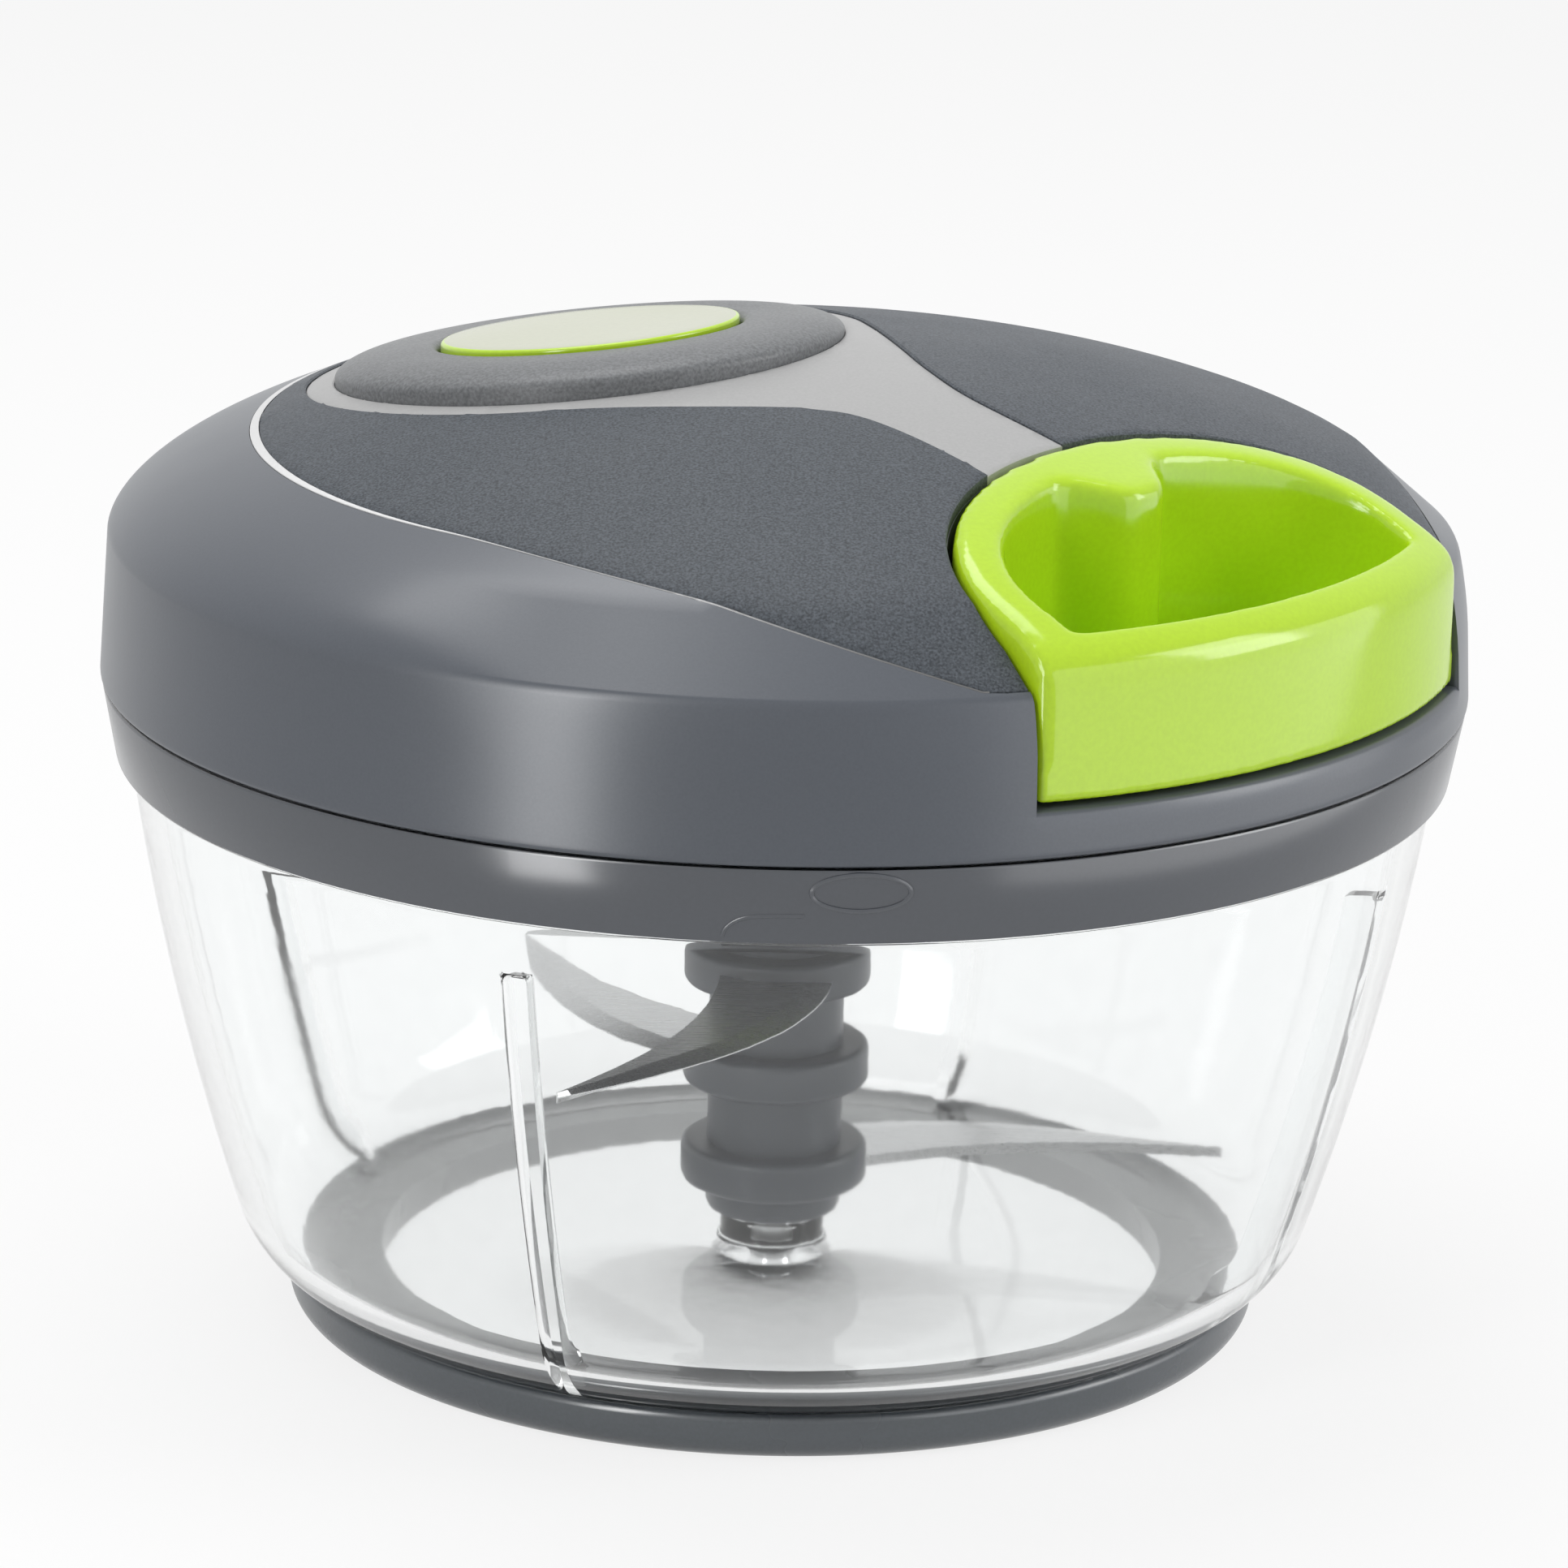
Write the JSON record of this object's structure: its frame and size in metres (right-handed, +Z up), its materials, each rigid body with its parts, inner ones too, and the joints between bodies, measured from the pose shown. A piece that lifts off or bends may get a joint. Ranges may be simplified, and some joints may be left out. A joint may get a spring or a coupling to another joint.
{
  "type": "manual pull cord food chopper",
  "caption": "Hand food chopper: clear tapered bowl on a foot ring, blade stem on a pin, domed lid with a spring cord reel and a docked pull handle that spins the blades.",
  "frame": {"origin": "centre of the foot ring's underside, on the axis of the bowl", "axes": "+Z up along the blade axis, -Y towards the front of the picture, the handle pulls out between +X and -Y"},
  "size_m": [0.13, 0.13, 0.0963],
  "materials": {
    "clear_bowl": "clear moulded plastic, polished",
    "soft_foot": "smooth grey non-slip ring",
    "grey_plastic": "satin dark grey",
    "grained_panel": "fine spark-eroded grain",
    "pale_plastic": "satin pale grey",
    "bright_trim": "bright line",
    "green_plastic": "glossy lime green",
    "pale_green_plastic": "glossy pale green cap",
    "steel": "ground stainless steel",
    "seal": "dark silicone",
    "inner_plastic": "natural acetal",
    "cord": "braided nylon"
  },
  "bodies": {
    "bowl": {"bowl": "clear_bowl", "foot_ring": "soft_foot", "pivot_pin": "steel"},
    "blades": {"blade_stem": "grey_plastic", "blade_lower": "steel", "blade_middle": "steel", "blade_upper": "steel"},
    "lid": {"lid_base": "grey_plastic", "seal_ring": "seal", "hub_bush": "inner_plastic", "lid_screws": "steel", "spindle": "steel", "lid_cover": "grey_plastic", "cord_guide": "inner_plastic", "top_panel": "grained_panel", "panel_trim": "bright_trim", "accent_strip": "pale_plastic", "crown_ring": "grained_panel", "crown_cap": "pale_green_plastic"},
    "hub": {"drive_hub": "green_plastic"},
    "reel": {"cord_reel": "inner_plastic", "wound_cord": "cord", "return_spring": "steel", "spring_cover": "inner_plastic"},
    "handle": {"pull_handle": "green_plastic", "cord_knot": "cord", "pull_cord": "cord"}
  },
  "joints": [
    {"name": "lift_off", "type": "slide", "parent": "bowl", "child": "lid", "axis": [0, 0, 1], "range_m": [0, 0.08]},
    {"name": "handle_pull", "type": "slide", "parent": "lid", "child": "handle", "axis": [0.7431, -0.6691, 0], "range_m": [0, 0.3], "stiffness_N_per_m": 10, "springref_m": -0.05, "deforming": ["pull_cord"]},
    {"name": "reel_spin", "type": "hinge", "parent": "lid", "child": "reel", "pos_m": [0, 0, 0.0755], "axis": [0, 0, 1], "range_deg": [0, 910], "deforming": ["return_spring"]},
    {"name": "hub_spin", "type": "hinge", "parent": "lid", "child": "hub", "pos_m": [0, 0, 0.055], "axis": [0, 0, 1], "range_deg": [0, 910]},
    {"name": "blade_spin", "type": "hinge", "parent": "bowl", "child": "blades", "pos_m": [0, 0, 0.02], "axis": [0, 0, 1], "range_deg": [0, 910]}
  ],
  "couplings": [
    {"joint": "reel_spin", "follows": "handle_pull", "rad_per_m": 52.632},
    {"joint": "hub_spin", "follows": "handle_pull", "rad_per_m": 52.632},
    {"joint": "blade_spin", "follows": "handle_pull", "rad_per_m": 52.632}
  ]
}
